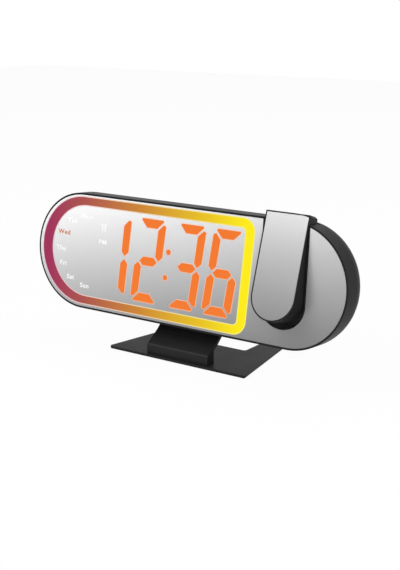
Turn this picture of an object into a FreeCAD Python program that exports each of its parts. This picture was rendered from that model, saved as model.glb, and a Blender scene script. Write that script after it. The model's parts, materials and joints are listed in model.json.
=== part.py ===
import FreeCAD, Part
import math
import os
import Sketcher

# A projection alarm clock: a mirror-faced body on a bent stand, with a projector arm that folds into
# a recess of the face. Everything in the body is drawn in the face's own frame, x to the right,
# y backwards from the mirror and z up it, with its origin at the middle of the face. The placements
# then lean the face back and set it over the stand. Row frame: +Z up, the origin on the surface that
# the clock stands on, under the middle of the stand's plate.

doc = FreeCAD.newDocument("ProjectionAlarmClock")
sheet = doc.addObject("Spreadsheet::Sheet", "Sizes")


class Length:
    """A size with its number and with the sheet expression that the number comes from."""

    def __init__(self, value, text):
        self.value = value
        self.text = text

    def __add__(self, other):
        other = as_length(other)
        return Length(self.value + other.value, "(%s + %s)" % (self.text, other.text))

    def __sub__(self, other):
        other = as_length(other)
        return Length(self.value - other.value, "(%s - %s)" % (self.text, other.text))

    def __mul__(self, other):
        other = as_length(other)
        return Length(self.value * other.value, "(%s * %s)" % (self.text, other.text))

    def __truediv__(self, other):
        other = as_length(other)
        return Length(self.value / other.value, "(%s / %s)" % (self.text, other.text))

    def __radd__(self, other):
        return as_length(other) + self

    def __rsub__(self, other):
        return as_length(other) - self

    def __rmul__(self, other):
        return as_length(other) * self

    def __rtruediv__(self, other):
        return as_length(other) / self

    def __neg__(self):
        return as_length(0) - self


def as_length(number):
    if isinstance(number, Length):
        return number
    return Length(float(number), "%.6f" % number)


def sine(angle):
    return Length(math.sin(math.radians(angle.value)), "sin(%s)" % angle.text)


def cosine(angle):
    return Length(math.cos(math.radians(angle.value)), "cos(%s)" % angle.text)


def tangent(angle):
    return Length(math.tan(math.radians(angle.value)), "tan(%s)" % angle.text)


def root(number):
    return Length(math.sqrt(number.value), "sqrt(%s)" % number.text)


def angle_of(rise, run):
    degrees = math.degrees(math.atan2(rise.value, run.value))
    return Length(degrees, "(atan2(%s; %s) / 1deg)" % (rise.text, run.text))


def arc_sine(number):
    degrees = math.degrees(math.asin(number.value))
    return Length(degrees, "(asin(%s) / 1deg)" % number.text)


def size(name, value):
    """Write one driving size into the sheet and hand it back."""
    size.row += 1
    sheet.set("A%d" % size.row, name)
    sheet.set("B%d" % size.row, str(value))
    sheet.setAlias("B%d" % size.row, name)
    return Length(float(value), "Sizes." + name)


size.row = 0

# The face and the housing behind it
face_wide = size("face_wide", 215)
face_high = size("face_high", 70)
lean = size("lean", 4.71)
side_deep = size("side_deep", 8)
body_deep = size("body_deep", 24)
back_round = size("back_round", 14)
wall = size("wall", 2)
rim = size("rim", 1)
ledge = size("ledge", 1.1)
carrier = size("carrier", 2)
mirror_thick = size("mirror_thick", 1.5)
mirror_gap = size("mirror_gap", 0.15)
glue = size("glue", 0.1)

# The lit ring and the segment block behind the mirror
ring_inset = size("ring_inset", 2.7)
ring_band = size("ring_band", 4.6)
ring_side = size("ring_side", 5.1)
ring_end = size("ring_end", 0.9)
ring_end_band = size("ring_end_band", 2.75)
ring_gap = size("ring_gap", 7.2)
ring_corner = size("ring_corner", 8)
ring_deep = size("ring_deep", 5)
seat_gap = size("seat_gap", 0.15)
block_deep = size("block_deep", 6)
digit_half = size("digit_half", 22)
digit_mid = size("digit_mid", 0.1)
digit_share = size("digit_share", 0.2045)
digit_slim = size("digit_slim", 0.588)
digit_last = size("digit_last", 12)
colon_room = size("colon_room", 3)
stroke = size("stroke", 4.8)
stroke_gap = size("stroke_gap", 0.7)
slant = size("slant", 6.6)
dot_radius = size("dot_radius", 1.7)
dot_apart = size("dot_apart", 15)
dot_shift = size("dot_shift", 0.4)
diffuser_thick = size("diffuser_thick", 1)
day_in = size("day_in", 3)
day_radius = size("day_radius", 20.6)
day_wide = size("day_wide", 9)
day_high = size("day_high", 3.6)
sign_gap = size("sign_gap", 0.8)
sign_high = size("sign_high", 16)
sign_low = size("sign_low", 7.1)
sign_wide = size("sign_wide", 5.2)

# Circuit boards
board_thick = size("board_thick", 1.2)
led_side = size("led_side", 1.6)
led_tall = size("led_tall", 0.8)
main_at = size("main_at", 15.5)
main_wide = size("main_wide", 96)
main_top = size("main_top", 26)
main_low = size("main_low", 20)
chip_wide = size("chip_wide", 12)
chip_thick = size("chip_thick", 1.5)
header_wide = size("header_wide", 24)
header_high = size("header_high", 3)
header_at = size("header_at", 21)

# Buttons on the back
button_radius = size("button_radius", 4)
button_gap = size("button_gap", 0.2)
button_proud = size("button_proud", 1.2)
button_edge = size("button_edge", 0.5)
button_flange = size("button_flange", 1.2)
button_flange_thick = size("button_flange_thick", 0.8)
button_pitch = size("button_pitch", 14)
button_high = size("button_high", 14)
button_count = 5
button_travel = size("button_travel", 0.5)
switch_wide = size("switch_wide", 6)
switch_stem = size("switch_stem", 1.6)
switch_slack = size("switch_slack", 0.2)
switch_tall = size("switch_tall", 3.1)

# Buzzer, power inlet and the cell that keeps the time
buzzer_in = size("buzzer_in", 9)
buzzer_radius = size("buzzer_radius", 5.5)
buzzer_tall = size("buzzer_tall", 4.8)
sound_hole = size("sound_hole", 0.7)
sound_ring = size("sound_ring", 3)
inlet_in = size("inlet_in", 13)
inlet_low = size("inlet_low", 12)
inlet_wide = size("inlet_wide", 9)
inlet_high = size("inlet_high", 3.3)
inlet_skin = size("inlet_skin", 0.35)
inlet_tongue = size("inlet_tongue", 0.7)
cell_in = size("cell_in", 12)
cell_low = size("cell_low", 8)
cell_radius = size("cell_radius", 10)
cell_thick = size("cell_thick", 3.2)
cell_gap = size("cell_gap", 0.2)
holder_wall = size("holder_wall", 1.2)
holder_floor = size("holder_floor", 0.9)
door_thick = size("door_thick", 1.2)
door_gap = size("door_gap", 0.15)
door_ledge = size("door_ledge", 1.2)
door_tab = size("door_tab", 5.4)
door_screw_up = size("door_screw_up", 2.8)

# Screws
screw_radius = size("screw_radius", 1.1)
screw_head = size("screw_head", 2.2)
screw_head_tall = size("screw_head_tall", 1.5)
screw_clear = size("screw_clear", 0.25)
post_radius = size("post_radius", 3)
screw_grip = size("screw_grip", 5)
left_screw_out = size("left_screw_out", 1.5)
right_screw_out = size("right_screw_out", 18.5)
screw_high = size("screw_high", 9)
mid_screw_low = size("mid_screw_low", 4)
small_screw = size("small_screw", 0.9)
small_head = size("small_head", 1.7)
small_head_tall = size("small_head_tall", 1)
small_grip = size("small_grip", 3.6)

# The projector arm and the recess it folds into
arm_in = size("arm_in", 4.1)
arm_half = size("arm_half", 13.55)
arm_low = size("arm_low", 7.4)
arm_top = size("arm_top", 37.7)
arm_proud = size("arm_proud", 0.5)
arm_rim = size("arm_rim", 0.35)
arm_glass = size("arm_glass", 1)
arm_skin = size("arm_skin", 0.8)
arm_wall = size("arm_wall", 1.2)
arm_deep = size("arm_deep", 10)
arm_cover = size("arm_cover", 1.4)
cover_edge = size("cover_edge", 0.6)
head_low = size("head_low", 24)
head_deep = size("head_deep", 7.8)
head_round = size("head_round", 1.8)
head_corner = size("head_corner", 1)
open_angle = size("open_angle", 13.6)
hinge_high = size("hinge_high", 31.5)
hinge_deep = size("hinge_deep", 4.8)
pin_radius = size("pin_radius", 1)
pin_gap = size("pin_gap", 0.05)
bush_wall = size("bush_wall", 0.9)
bush_long = size("bush_long", 6)
ear_long = size("ear_long", 2.2)
ear_radius = size("ear_radius", 2.3)
recess_gap = size("recess_gap", 0.35)
recess_low = size("recess_low", 10.1)
recess_deep = size("recess_deep", 13.3)
recess_wall = size("recess_wall", 1.5)
recess_rim = size("recess_rim", 0.5)

# The optics in the arm, on an axis that runs down it
optic_deep = size("optic_deep", 6.6)
collar_radius = size("collar_radius", 5)
collar_top = size("collar_top", -6)
collar_long = size("collar_long", 6)
collar_teeth = 24
tooth_deep = size("tooth_deep", 0.35)
nose_radius = size("nose_radius", 4)
nose_low = size("nose_low", 20.2)
nose_gap = size("nose_gap", 0.25)
tube_radius = size("tube_radius", 3.4)
tube_bore = size("tube_bore", 2.6)
tube_gap = size("tube_gap", 0.05)
tube_top = size("tube_top", 4)
tube_in = size("tube_in", 5)
tube_flange = size("tube_flange", 1.5)
lens_radius = size("lens_radius", 3.2)
lens_thick = size("lens_thick", 1.2)
lens_crown = size("lens_crown", 0.7)
film_thick = size("film_thick", 0.8)
lamp_at = size("lamp_at", 12)
lamp_radius = size("lamp_radius", 2.5)
lamp_tall = size("lamp_tall", 4.5)
lamp_board = size("lamp_board", 1)
optic_wide = size("optic_wide", 16)
window_wide = size("window_wide", 11)
window_gap = size("window_gap", 0.4)

# The stand
plate_wide = size("plate_wide", 96.8)
plate_long = size("plate_long", 72)
plate_thick = size("plate_thick", 1.2)
plate_taper = size("plate_taper", 10)
plate_corner = size("plate_corner", 1.5)
slot_wide = size("slot_wide", 47.5)
slot_front = size("slot_front", 38.3)
slot_long = size("slot_long", 24)
slot_corner = size("slot_corner", 2)
mat_thick = size("mat_thick", 0.6)
mat_inset = size("mat_inset", 0.6)
face_rise = size("face_rise", 53.9)
face_back = size("face_back", 5.35)
neck_wide = size("neck_wide", 43)
foot_inset = size("foot_inset", 2.35)
foot_deep = size("foot_deep", 6.5)
foot_tall = size("foot_tall", 5.35)
foot_round = size("foot_round", 2)
neck_thick = size("neck_thick", 2)
neck_slope = size("neck_slope", 33.5)
knee_run = size("knee_run", 9.5)
neck_gap = size("neck_gap", 0.2)
tab_top = size("tab_top", -6)
tab_round = size("tab_round", 6)
neck_screw_at = size("neck_screw_at", 12)
neck_screw_low = size("neck_screw_low", 13.5)
neck_post = size("neck_post", 4.4)
base_screw_at = size("base_screw_at", 14)
base_head_up = size("base_head_up", 0.1)
base_head_tall = size("base_head_tall", 0.8)

NONE = as_length(0)
HALF_TURN = 180

# Places that several pieces share
end_radius = face_high / 2
end_at = face_wide / 2 - end_radius
tub_deep = recess_deep + recess_wall
recess_half = arm_half + recess_gap
arm_at = end_at - arm_in
ring_left = ring_end - end_at
ring_left_inner = ring_left + ring_end_band
ring_right = arm_at - recess_half - ring_gap
digit_pitch = (ring_right + end_at) * digit_share
digit_column = digit_pitch * digit_slim
digit_first = ring_right - digit_last - digit_pitch * 3 - colon_room
dot_at = digit_first + digit_pitch * 1.5 + (colon_room - digit_column) / 2 + dot_shift
day_centre = day_in - end_at
sign_at = digit_first - digit_column - sign_gap
board_edge = main_wide / 2
cell_at = board_edge - cell_in
buzzer_at = board_edge - buzzer_in
inlet_at = board_edge - inlet_in
left_screw_at = end_at + left_screw_out
right_screw_at = end_at + right_screw_out
mid_screw_at = digit_first + digit_pitch * 2.5 + colon_room - digit_column / 2 - dot_shift
block_front = mirror_thick + glue
block_back = block_front + block_deep
board_back = block_back + board_thick
main_back = main_at + board_thick
back_inside = body_deep - wall
face_y = face_back - plate_long / 2
plate_top = mat_thick + plate_thick
face_z = plate_top + face_rise
hinge_y = face_y + hinge_deep * cosine(lean) + hinge_high * sine(lean)
hinge_z = face_z - hinge_deep * sine(lean) + hinge_high * cosine(lean)

nodes = {}


def line_to(x, z):
    return (as_length(x), as_length(z), None)


def arc_to(x, z, centre_x, centre_z, radius):
    return (as_length(x), as_length(z), (as_length(centre_x), as_length(centre_z), as_length(radius)))


def lock(sketch, kind, first, second, length):
    """Hold one measure of a sketch to its expression."""
    if second is None:
        constraint = Sketcher.Constraint(kind, first, length.value)
    else:
        constraint = Sketcher.Constraint(kind, -1, 1, first, second, length.value)
    index = sketch.addConstraint(constraint)
    sketch.setExpression("Constraints[%d]" % index, length.text)


def outline(*corners):
    """A closed outline through the corners; an arc ends at the corner that names its centre."""

    def draw(sketch):
        first = sketch.GeometryCount
        count = len(corners)
        for index in range(count):
            start = corners[index]
            end = corners[(index + 1) % count]
            a = FreeCAD.Vector(start[0].value, start[1].value, 0)
            b = FreeCAD.Vector(end[0].value, end[1].value, 0)
            if end[2] is None:
                sketch.addGeometry(Part.LineSegment(a, b), False)
            else:
                centre = FreeCAD.Vector(end[2][0].value, end[2][1].value, 0)
                turn = (a - centre).cross(b - centre).z
                from_angle = math.atan2(a.y - centre.y, a.x - centre.x)
                to_angle = math.atan2(b.y - centre.y, b.x - centre.x)
                if turn < 0:
                    from_angle, to_angle = to_angle, from_angle
                circle = Part.Circle(centre, FreeCAD.Vector(0, 0, 1), end[2][2].value)
                sketch.addGeometry(Part.ArcOfCircle(circle, from_angle, to_angle), False)
        ends = [side_ends(corners, index) for index in range(count)]
        for index in range(count):
            after = (index + 1) % count
            sketch.addConstraint(Sketcher.Constraint(
                "Coincident", first + index, ends[index][1], first + after, ends[after][0]))
        for index in range(count):
            lock(sketch, "DistanceX", first + index, ends[index][0], corners[index][0])
            lock(sketch, "DistanceY", first + index, ends[index][0], corners[index][1])
            arc = corners[(index + 1) % count][2]
            if arc is not None:
                lock(sketch, "Radius", first + index, None, arc[2])

    return draw


def side_ends(corners, index):
    """Which end of a side comes first: an arc drawn clockwise is stored the other way round."""
    start = corners[index]
    end = corners[(index + 1) % len(corners)]
    if end[2] is None:
        return (1, 2)
    ax = start[0].value - end[2][0].value
    ay = start[1].value - end[2][1].value
    bx = end[0].value - end[2][0].value
    by = end[1].value - end[2][1].value
    return (1, 2) if ax * by - ay * bx > 0 else (2, 1)


def circle(x, z, radius):
    x, z, radius = as_length(x), as_length(z), as_length(radius)

    def draw(sketch):
        centre = FreeCAD.Vector(x.value, z.value, 0)
        index = sketch.addGeometry(Part.Circle(centre, FreeCAD.Vector(0, 0, 1), radius.value), False)
        lock(sketch, "DistanceX", index, 3, x)
        lock(sketch, "DistanceY", index, 3, z)
        lock(sketch, "Radius", index, None, radius)

    return draw


def rectangle(left, low, right, high):
    return outline(line_to(left, low), line_to(right, low), line_to(right, high), line_to(left, high))


def box_at(x, z, wide, high):
    return rectangle(x - wide / 2, z - high / 2, x + wide / 2, z + high / 2)


def stadium(centre, half, radius):
    """Two half circles, half apart from the centre, joined by level lines."""
    left = centre - half
    right = centre + half
    return outline(
        line_to(left, radius),
        arc_to(left - radius, 0, left, 0, radius),
        arc_to(left, -radius, left, 0, radius),
        line_to(right, -radius),
        arc_to(right + radius, 0, right, 0, radius),
        arc_to(right, radius, right, 0, radius))


def half_stadium(left, radius, right, corner):
    """The lit display's outline: a half circle at the left and rounded corners at the right."""
    return outline(
        line_to(left, radius),
        arc_to(left - radius, 0, left, 0, radius),
        arc_to(left, -radius, left, 0, radius),
        line_to(right - corner, -radius),
        arc_to(right, corner - radius, right - corner, corner - radius, corner),
        line_to(right, radius - corner),
        arc_to(right - corner, radius, right - corner, radius - corner, corner))


def round_box(x, z, wide, high, corner):
    left, right = x - wide / 2, x + wide / 2
    low, top = z - high / 2, z + high / 2
    return outline(
        arc_to(left + corner, low, left + corner, low + corner, corner),
        line_to(right - corner, low),
        arc_to(right, low + corner, right - corner, low + corner, corner),
        line_to(right, top - corner),
        arc_to(right - corner, top, right - corner, top - corner, corner),
        line_to(left + corner, top),
        arc_to(left, top - corner, left + corner, top - corner, corner),
        line_to(left, low + corner))


def flap(half, low, top):
    """The arm's outline: round below, square above, and bent down where it meets the body's end."""
    left, right = arm_at - half, arm_at + half
    off = right - end_at
    return outline(
        line_to(left, top),
        line_to(left, -low),
        arc_to(arm_at, -low - half, arm_at, -low, half),
        arc_to(right, -low, arm_at, -low, half),
        line_to(right, root(top * top - off * off)),
        arc_to(end_at, top, end_at, 0, top))


def trough(half, low, top):
    """A slot that is round below and square above."""
    left, right = arm_at - half, arm_at + half
    return outline(
        line_to(left, top),
        line_to(left, -low),
        arc_to(arm_at, -low - half, arm_at, -low, half),
        arc_to(right, -low, arm_at, -low, half),
        line_to(right, top))


PLANES = {"XZ": "XZ_Plane", "YZ": "YZ_Plane", "XY": "XY_Plane"}


def new_body(name):
    body = doc.addObject("PartDesign::Body", name)
    body.Label = name
    if hasattr(body, "AllowCompound"):
        body.AllowCompound = True
    return body


def new_sketch(body, plane, start, shapes):
    """A sketch on one of the body's planes, start away from it along +Y, +X or +Z."""
    start = as_length(start)
    sketch = body.newObject("Sketcher::SketchObject", body.Name + "_sketch")
    role = PLANES[plane]
    support = [item for item in body.Origin.OriginFeatures if item.Role == role][0]
    sketch.AttachmentSupport = [(support, "")]
    sketch.MapMode = "FlatFace"
    away = -start if plane == "XZ" else start
    sketch.AttachmentOffset = FreeCAD.Placement(FreeCAD.Vector(0, 0, away.value), FreeCAD.Rotation())
    sketch.setExpression("AttachmentOffset.Base.z", away.text)
    for draw in shapes:
        draw(sketch)
    sketch.Visibility = False
    return sketch


def pad(body, plane, start, deep, *shapes):
    """Add the shapes' prism, from start, deep along +Y, +X or +Z."""
    deep = as_length(deep)
    sketch = new_sketch(body, plane, start, shapes)
    feature = body.newObject("PartDesign::Pad", body.Name + "_pad")
    feature.Profile = sketch
    feature.Length = deep.value
    feature.setExpression("Length", deep.text)
    feature.Reversed = plane == "XZ"
    doc.recompute()
    return feature


def cut(body, plane, start, deep, *shapes):
    """Take the shapes' prism away, from start, deep along +Y, +X or +Z."""
    deep = as_length(deep)
    before = body.Shape.Volume
    sketch = new_sketch(body, plane, start, shapes)
    feature = body.newObject("PartDesign::Pocket", body.Name + "_pocket")
    feature.Profile = sketch
    feature.Length = deep.value
    feature.setExpression("Length", deep.text)
    feature.Reversed = plane != "XZ"
    doc.recompute()
    if not body.Shape.Volume < before:
        raise RuntimeError("%s: the pocket %s cuts nothing, %.3f to %.3f" % (
            body.Label, feature.Name, before, body.Shape.Volume))
    return feature


def turned(body, *shapes):
    """Turn a half section, drawn with x as radius and z along the axis, about the body's z axis."""
    sketch = new_sketch(body, "XZ", 0, shapes)
    feature = body.newObject("PartDesign::Revolution", body.Name + "_turn")
    feature.Profile = sketch
    feature.ReferenceAxis = (sketch, ["V_Axis"])
    feature.Angle = 360
    doc.recompute()
    return feature


def edges_where(shape, test):
    return ["Edge%d" % (index + 1) for index, edge in enumerate(shape.Edges) if test(edge)]


def round_edges(body, radius, test):
    base = body.Tip
    feature = body.newObject("PartDesign::Fillet", body.Name + "_fillet")
    feature.Base = (base, edges_where(base.Shape, test))
    feature.Radius = radius.value
    feature.setExpression("Radius", radius.text)
    doc.recompute()
    return feature


def bevel_edges(body, width, test):
    base = body.Tip
    feature = body.newObject("PartDesign::Chamfer", body.Name + "_bevel")
    feature.Base = (base, edges_where(base.Shape, test))
    feature.Size = width.value
    feature.setExpression("Size", width.text)
    doc.recompute()
    return feature


def flat_at(edge, axis, value, tolerance=0.01):
    box = edge.BoundBox
    low = getattr(box, axis + "Min")
    high = getattr(box, axis + "Max")
    return abs(low - value) < tolerance and abs(high - value) < tolerance


def set_place(piece, x, y, z, angle):
    """Put a piece at a point of the row frame, leaning back by an angle about the x axis."""
    x, y, z = as_length(x), as_length(y), as_length(z)
    turn = FreeCAD.Rotation(FreeCAD.Vector(-1, 0, 0), angle.value)
    piece.Placement = FreeCAD.Placement(FreeCAD.Vector(x.value, y.value, z.value), turn)
    piece.setExpression("Placement.Base.x", x.text)
    piece.setExpression("Placement.Base.y", y.text)
    piece.setExpression("Placement.Base.z", z.text)
    if angle.value:
        piece.setExpression("Placement.Rotation.Angle", angle.text)
    nodes[piece.Label] = piece
    return piece


def on_face(piece, x=NONE, y=NONE, z=NONE):
    """The piece's own origin goes to a point of the face's frame."""
    y, z = as_length(y), as_length(z)
    return set_place(
        piece, x,
        face_y + y * cosine(lean) + z * sine(lean),
        face_z - y * sine(lean) + z * cosine(lean),
        lean)


def on_arm(piece, x=NONE, y=NONE, z=NONE):
    """The same for a piece of the arm, which stands open by its rest angle."""
    angle = lean + open_angle
    y = as_length(y) - hinge_deep
    z = as_length(z) - hinge_high
    return set_place(
        piece, x,
        hinge_y + y * cosine(angle) + z * sine(angle),
        hinge_z - y * sine(angle) + z * cosine(angle),
        angle)


def on_stand(piece, z=NONE):
    return set_place(piece, 0, 0, z, as_length(0))


# Where the screws and the lit windows stand on the face
left_screws = [(-left_screw_at, screw_high), (-left_screw_at, -screw_high), (mid_screw_at, -mid_screw_low)]
right_screws = [(right_screw_at, screw_high), (right_screw_at, -screw_high)]
door_side = cell_radius * 2 + holder_wall * 2 + cell_gap * 2
board_posts = [(-board_edge + 4, main_top - 4), (board_edge - 4, main_top - 4),
               (door_side / 2 - cell_at + 3.6, 4 - main_low), (board_edge - 4, 4 - main_low)]
door_screw = (-cell_at, door_side / 2 - cell_low + door_screw_up)
digit_places = [digit_first + digit_pitch * index + (colon_room if index > 1 else NONE)
                for index in range(4)]


def leaned(x, z):
    """A corner of a digit, slid sideways with its height."""
    return line_to(x + z * tangent(slant), z + digit_mid)


def segment_shapes(column):
    """A digit's windows, its right column crossing the middle at column; the first shows 1 or 2 only."""
    right = column
    left = column - digit_column
    half = stroke / 2
    tall = digit_half
    gap = stroke_gap
    shapes = []
    for up in (1, -1):
        level = tall * up
        shapes.append(outline(
            leaned(left - half + gap, level + half * up), leaned(right + half - gap, level + half * up),
            leaned(right - half - gap, level - half * up), leaned(left + half + gap, level - half * up)))
        for side, x in ((1, right), (-1, left)):
            if side < 0 < up and column is digit_places[0]:
                continue
            shapes.append(outline(
                leaned(x + half * side, (tall + half - gap) * up),
                leaned(x + half * side, (half + gap) * up),
                leaned(x, gap * up),
                leaned(x - half * side, (half + gap) * up),
                leaned(x - half * side, (tall - half - gap) * up)))
    shapes.append(outline(
        leaned(left + gap, NONE), leaned(left + half + gap, half), leaned(right - half - gap, half),
        leaned(right - gap, NONE), leaned(right - half - gap, -half), leaned(left + half + gap, -half)))
    return shapes


def segment_middles(column):
    right = column
    left = column - digit_column
    middles = []
    for up in (1, -1):
        middles.append(((left + right) / 2, digit_half * up))
        middles.append((right, digit_half * up / 2))
        if up < 0 or column is not digit_places[0]:
            middles.append((left, digit_half * up / 2))
    middles.append(((left + right) / 2, NONE))
    return [(x + z * tangent(slant), z + digit_mid) for x, z in middles]


def label_places():
    """The weekdays stand round the left end, a twelfth of a turn apart; two signs stand inside them."""
    places = []
    for step in range(7):
        angle = as_length(90 + 30 * step)
        places.append((day_centre + day_radius * cosine(angle), day_radius * sine(angle), day_wide))
    places.append((sign_at, sign_high, sign_wide))
    places.append((sign_at, sign_low, sign_wide))
    return places


dots = [(dot_at + dot_apart / 2 * up * tangent(slant), dot_apart / 2 * up) for up in (1, -1)]
ring_mid = end_radius - ring_inset - ring_band / 2


def make_front_housing():
    """The bezel with its seat for the mirror, the display window, the recess and the hinge's ears."""
    body = new_body("front_housing")
    pad(body, "XZ", 0, side_deep, stadium(NONE, end_at, end_radius))
    cut(body, "XZ", block_front + carrier, side_deep, stadium(NONE, end_at, end_radius - wall))
    cut(body, "XZ", 0, block_front, stadium(NONE, end_at, end_radius - rim))
    cut(body, "XZ", block_front, carrier,
        half_stadium(-end_at, end_radius - rim - ledge, ring_right + seat_gap, ring_corner))
    pad(body, "XZ", 0, block_front + carrier, flap(recess_half + recess_rim, recess_low, end_radius))
    rounding = root(back_round * back_round - (tub_deep - body_deep + back_round)
                    * (tub_deep - body_deep + back_round))
    tub_top = end_radius - back_round + rounding
    pad(body, "XZ", block_front + carrier, side_deep - block_front - carrier,
        flap(recess_half + recess_wall, recess_low, end_radius))
    pad(body, "XZ", side_deep, tub_deep - side_deep,
        flap(recess_half + recess_wall, recess_low, tub_top))
    cut(body, "XZ", 0, recess_deep, trough(recess_half, recess_low, face_high))
    for ear in (arm_at - recess_half - ear_long, arm_at + recess_half):
        pad(body, "YZ", ear, ear_long,
            circle(hinge_deep + 0.5, hinge_high - 1, ear_radius))
    cut(body, "YZ", arm_at - recess_half - ear_long, recess_half * 2 + ear_long * 2,
        circle(hinge_deep, hinge_high, pin_radius))
    for x, z in right_screws:
        pad(body, "XZ", block_front + carrier, side_deep + 4 - block_front - carrier,
            circle(x, z, post_radius))
        cut(body, "XZ", side_deep - 2, 6, circle(x, z, screw_radius))
    return on_face(body)


def make_rear_housing():
    """The back shell, rounded all round, with its posts and its openings."""
    body = new_body("rear_housing")
    pad(body, "XZ", side_deep, body_deep - side_deep, stadium(NONE, end_at, end_radius))
    round_edges(body, back_round, lambda edge: flat_at(edge, "Y", body_deep.value))
    hollow = new_body("rear_hollow")
    pad(hollow, "XZ", side_deep - 1, back_inside - side_deep + 1, stadium(NONE, end_at, end_radius - wall))
    bevel_edges(hollow, back_round - wall, lambda edge: flat_at(edge, "Y", back_inside.value))
    shell = body.newObject("PartDesign::Boolean", "rear_housing_shell")
    shell.Type = "Cut"
    shell.setObjects([hollow])
    doc.recompute()
    for x, z in left_screws:
        pad(body, "XZ", board_back, body_deep - wall - board_back, circle(x, z, post_radius))
    for x, z in right_screws:
        pad(body, "XZ", side_deep + 4, body_deep - wall - side_deep - 4, circle(x, z, post_radius))
    for x, z in board_posts:
        pad(body, "XZ", main_back, back_inside - main_back, circle(x, z, small_head + 0.6))
        cut(body, "XZ", main_back, small_grip, circle(x, z, small_screw))
    for x in (-neck_screw_at, neck_screw_at):
        pad(body, "XZ", back_inside - neck_post, neck_post, circle(x, -neck_screw_low, post_radius))
        cut(body, "XZ", back_inside - neck_post, neck_post + wall, circle(x, -neck_screw_low, screw_radius))
    for x, z in left_screws + right_screws:
        cut(body, "XZ", board_back, body_deep - board_back, circle(x, z, screw_radius + screw_clear))
        cut(body, "XZ", body_deep - screw_head_tall - 1, screw_head_tall + 2,
            circle(x, z, screw_head + screw_clear))
    cut(body, "XZ", side_deep, tub_deep + 0.2 - side_deep,
        trough(recess_half + recess_wall + 0.2, recess_low, face_high))
    for place in button_places():
        cut(body, "XZ", back_inside - 1, wall + 2, circle(place, button_high, button_radius + button_gap))
    for x, z in sound_places():
        cut(body, "XZ", back_inside - 1, wall + 2, circle(x, z, sound_hole))
    cut(body, "XZ", back_inside - 1, wall + 2,
        stadium_at(inlet_at, -inlet_low, inlet_wide + 0.4, inlet_high + 0.4))
    cut(body, "XZ", body_deep - door_thick, door_thick + 1, door_outline(NONE))
    cut(body, "XZ", back_inside - 1, wall + 2,
        round_box(-cell_at, -cell_low, door_side, door_side, as_length(2)))
    pad(body, "XZ", main_back + 0.5, back_inside - main_back - 0.5, circle(*door_screw, small_head + 0.6))
    cut(body, "XZ", main_back + 0.5, body_deep - main_back, circle(*door_screw, small_screw))
    return on_face(body)


def door_outline(gap):
    """The battery door, inside its recess by a gap: past the opening at both sides and at the top."""
    return round_box(
        -cell_at, door_tab / 2 - cell_low, door_side + door_ledge * 2 - gap * 2,
        door_side + door_tab - gap * 2, 2 - gap)


def button_places():
    return [button_pitch * (index - (button_count - 1) / 2) for index in range(button_count)]


def sound_places():
    places = [(buzzer_at, as_length(4))]
    for step in range(6):
        angle = as_length(60 * step)
        places.append((buzzer_at + sound_ring * cosine(angle), 4 + sound_ring * sine(angle)))
    return places


def stadium_at(x, z, wide, high):
    half = high / 2
    left = x - wide / 2 + half
    right = x + wide / 2 - half
    return outline(
        line_to(left, z + half),
        arc_to(left - half, z, left, z, half),
        arc_to(left, z - half, left, z, half),
        line_to(right, z - half),
        arc_to(right + half, z, right, z, half),
        arc_to(right, z + half, right, z, half))


def make_mirror_panel():
    body = new_body("mirror_panel")
    pad(body, "XZ", 0, mirror_thick, stadium(NONE, end_at, end_radius - rim - mirror_gap))
    cut(body, "XZ", 0, mirror_thick, trough(recess_half + recess_rim + mirror_gap, recess_low, face_high))
    return on_face(body)


def make_light_ring():
    body = new_body("light_ring")
    outer = end_radius - ring_inset
    inner = outer - ring_band
    pad(body, "XZ", block_front, ring_deep, half_stadium(ring_left, outer, ring_right, ring_corner))
    cut(body, "XZ", block_front, ring_deep,
        half_stadium(ring_left_inner, inner, ring_right - ring_side, ring_corner - ring_band))
    return on_face(body)


def make_segment_block():
    body = new_body("segment_block")
    inner = end_radius - ring_inset - ring_band - seat_gap
    right = ring_right - ring_side - seat_gap
    pad(body, "XZ", block_front, block_deep, half_stadium(ring_left_inner, inner, right, ring_corner - ring_band))
    for column in digit_places:
        cut(body, "XZ", block_front, block_deep, *segment_shapes(column))
    cut(body, "XZ", block_front, block_deep, *[circle(x, z + digit_mid, dot_radius) for x, z in dots])
    cut(body, "XZ", block_front, block_deep,
        *[box_at(x, z, wide, day_high) for x, z, wide in label_places()])
    cut(body, "XZ", block_back - screw_grip, screw_grip,
        *[circle(x, z, screw_radius) for x, z in left_screws])
    return on_face(body)


def make_segment_diffusers():
    """One milky cap in every window of the block, level with its front."""
    body = new_body("segment_diffusers")
    for column in digit_places:
        pad(body, "XZ", block_front, diffuser_thick, *segment_shapes(column))
    pad(body, "XZ", block_front, diffuser_thick, *[circle(x, z + digit_mid, dot_radius) for x, z in dots])
    return on_face(body)


def make_label_diffusers():
    body = new_body("label_diffusers")
    pad(body, "XZ", block_front, diffuser_thick,
        *[box_at(x, z, wide, day_high) for x, z, wide in label_places()])
    return on_face(body)


def make_display_board():
    body = new_body("display_board")
    outer = end_radius - ring_inset
    pad(body, "XZ", block_back, board_thick, half_stadium(ring_left, outer, ring_right, ring_corner))
    cut(body, "XZ", block_back, board_thick,
        *[circle(x, z, screw_radius + screw_clear) for x, z in left_screws])
    return on_face(body)


def ring_lamp_places():
    """Lamps under the ring: along its two straight runs and round its left end."""
    places = []
    for up in (1, -1):
        for step in range(7):
            places.append((ring_right - ring_corner - step * 18 + NONE, ring_mid * up))
    for step in range(5):
        angle = as_length(120 + 30 * step)
        places.append((ring_left + ring_end_band / 2 + ring_mid * cosine(angle), ring_mid * sine(angle)))
    return places


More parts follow.
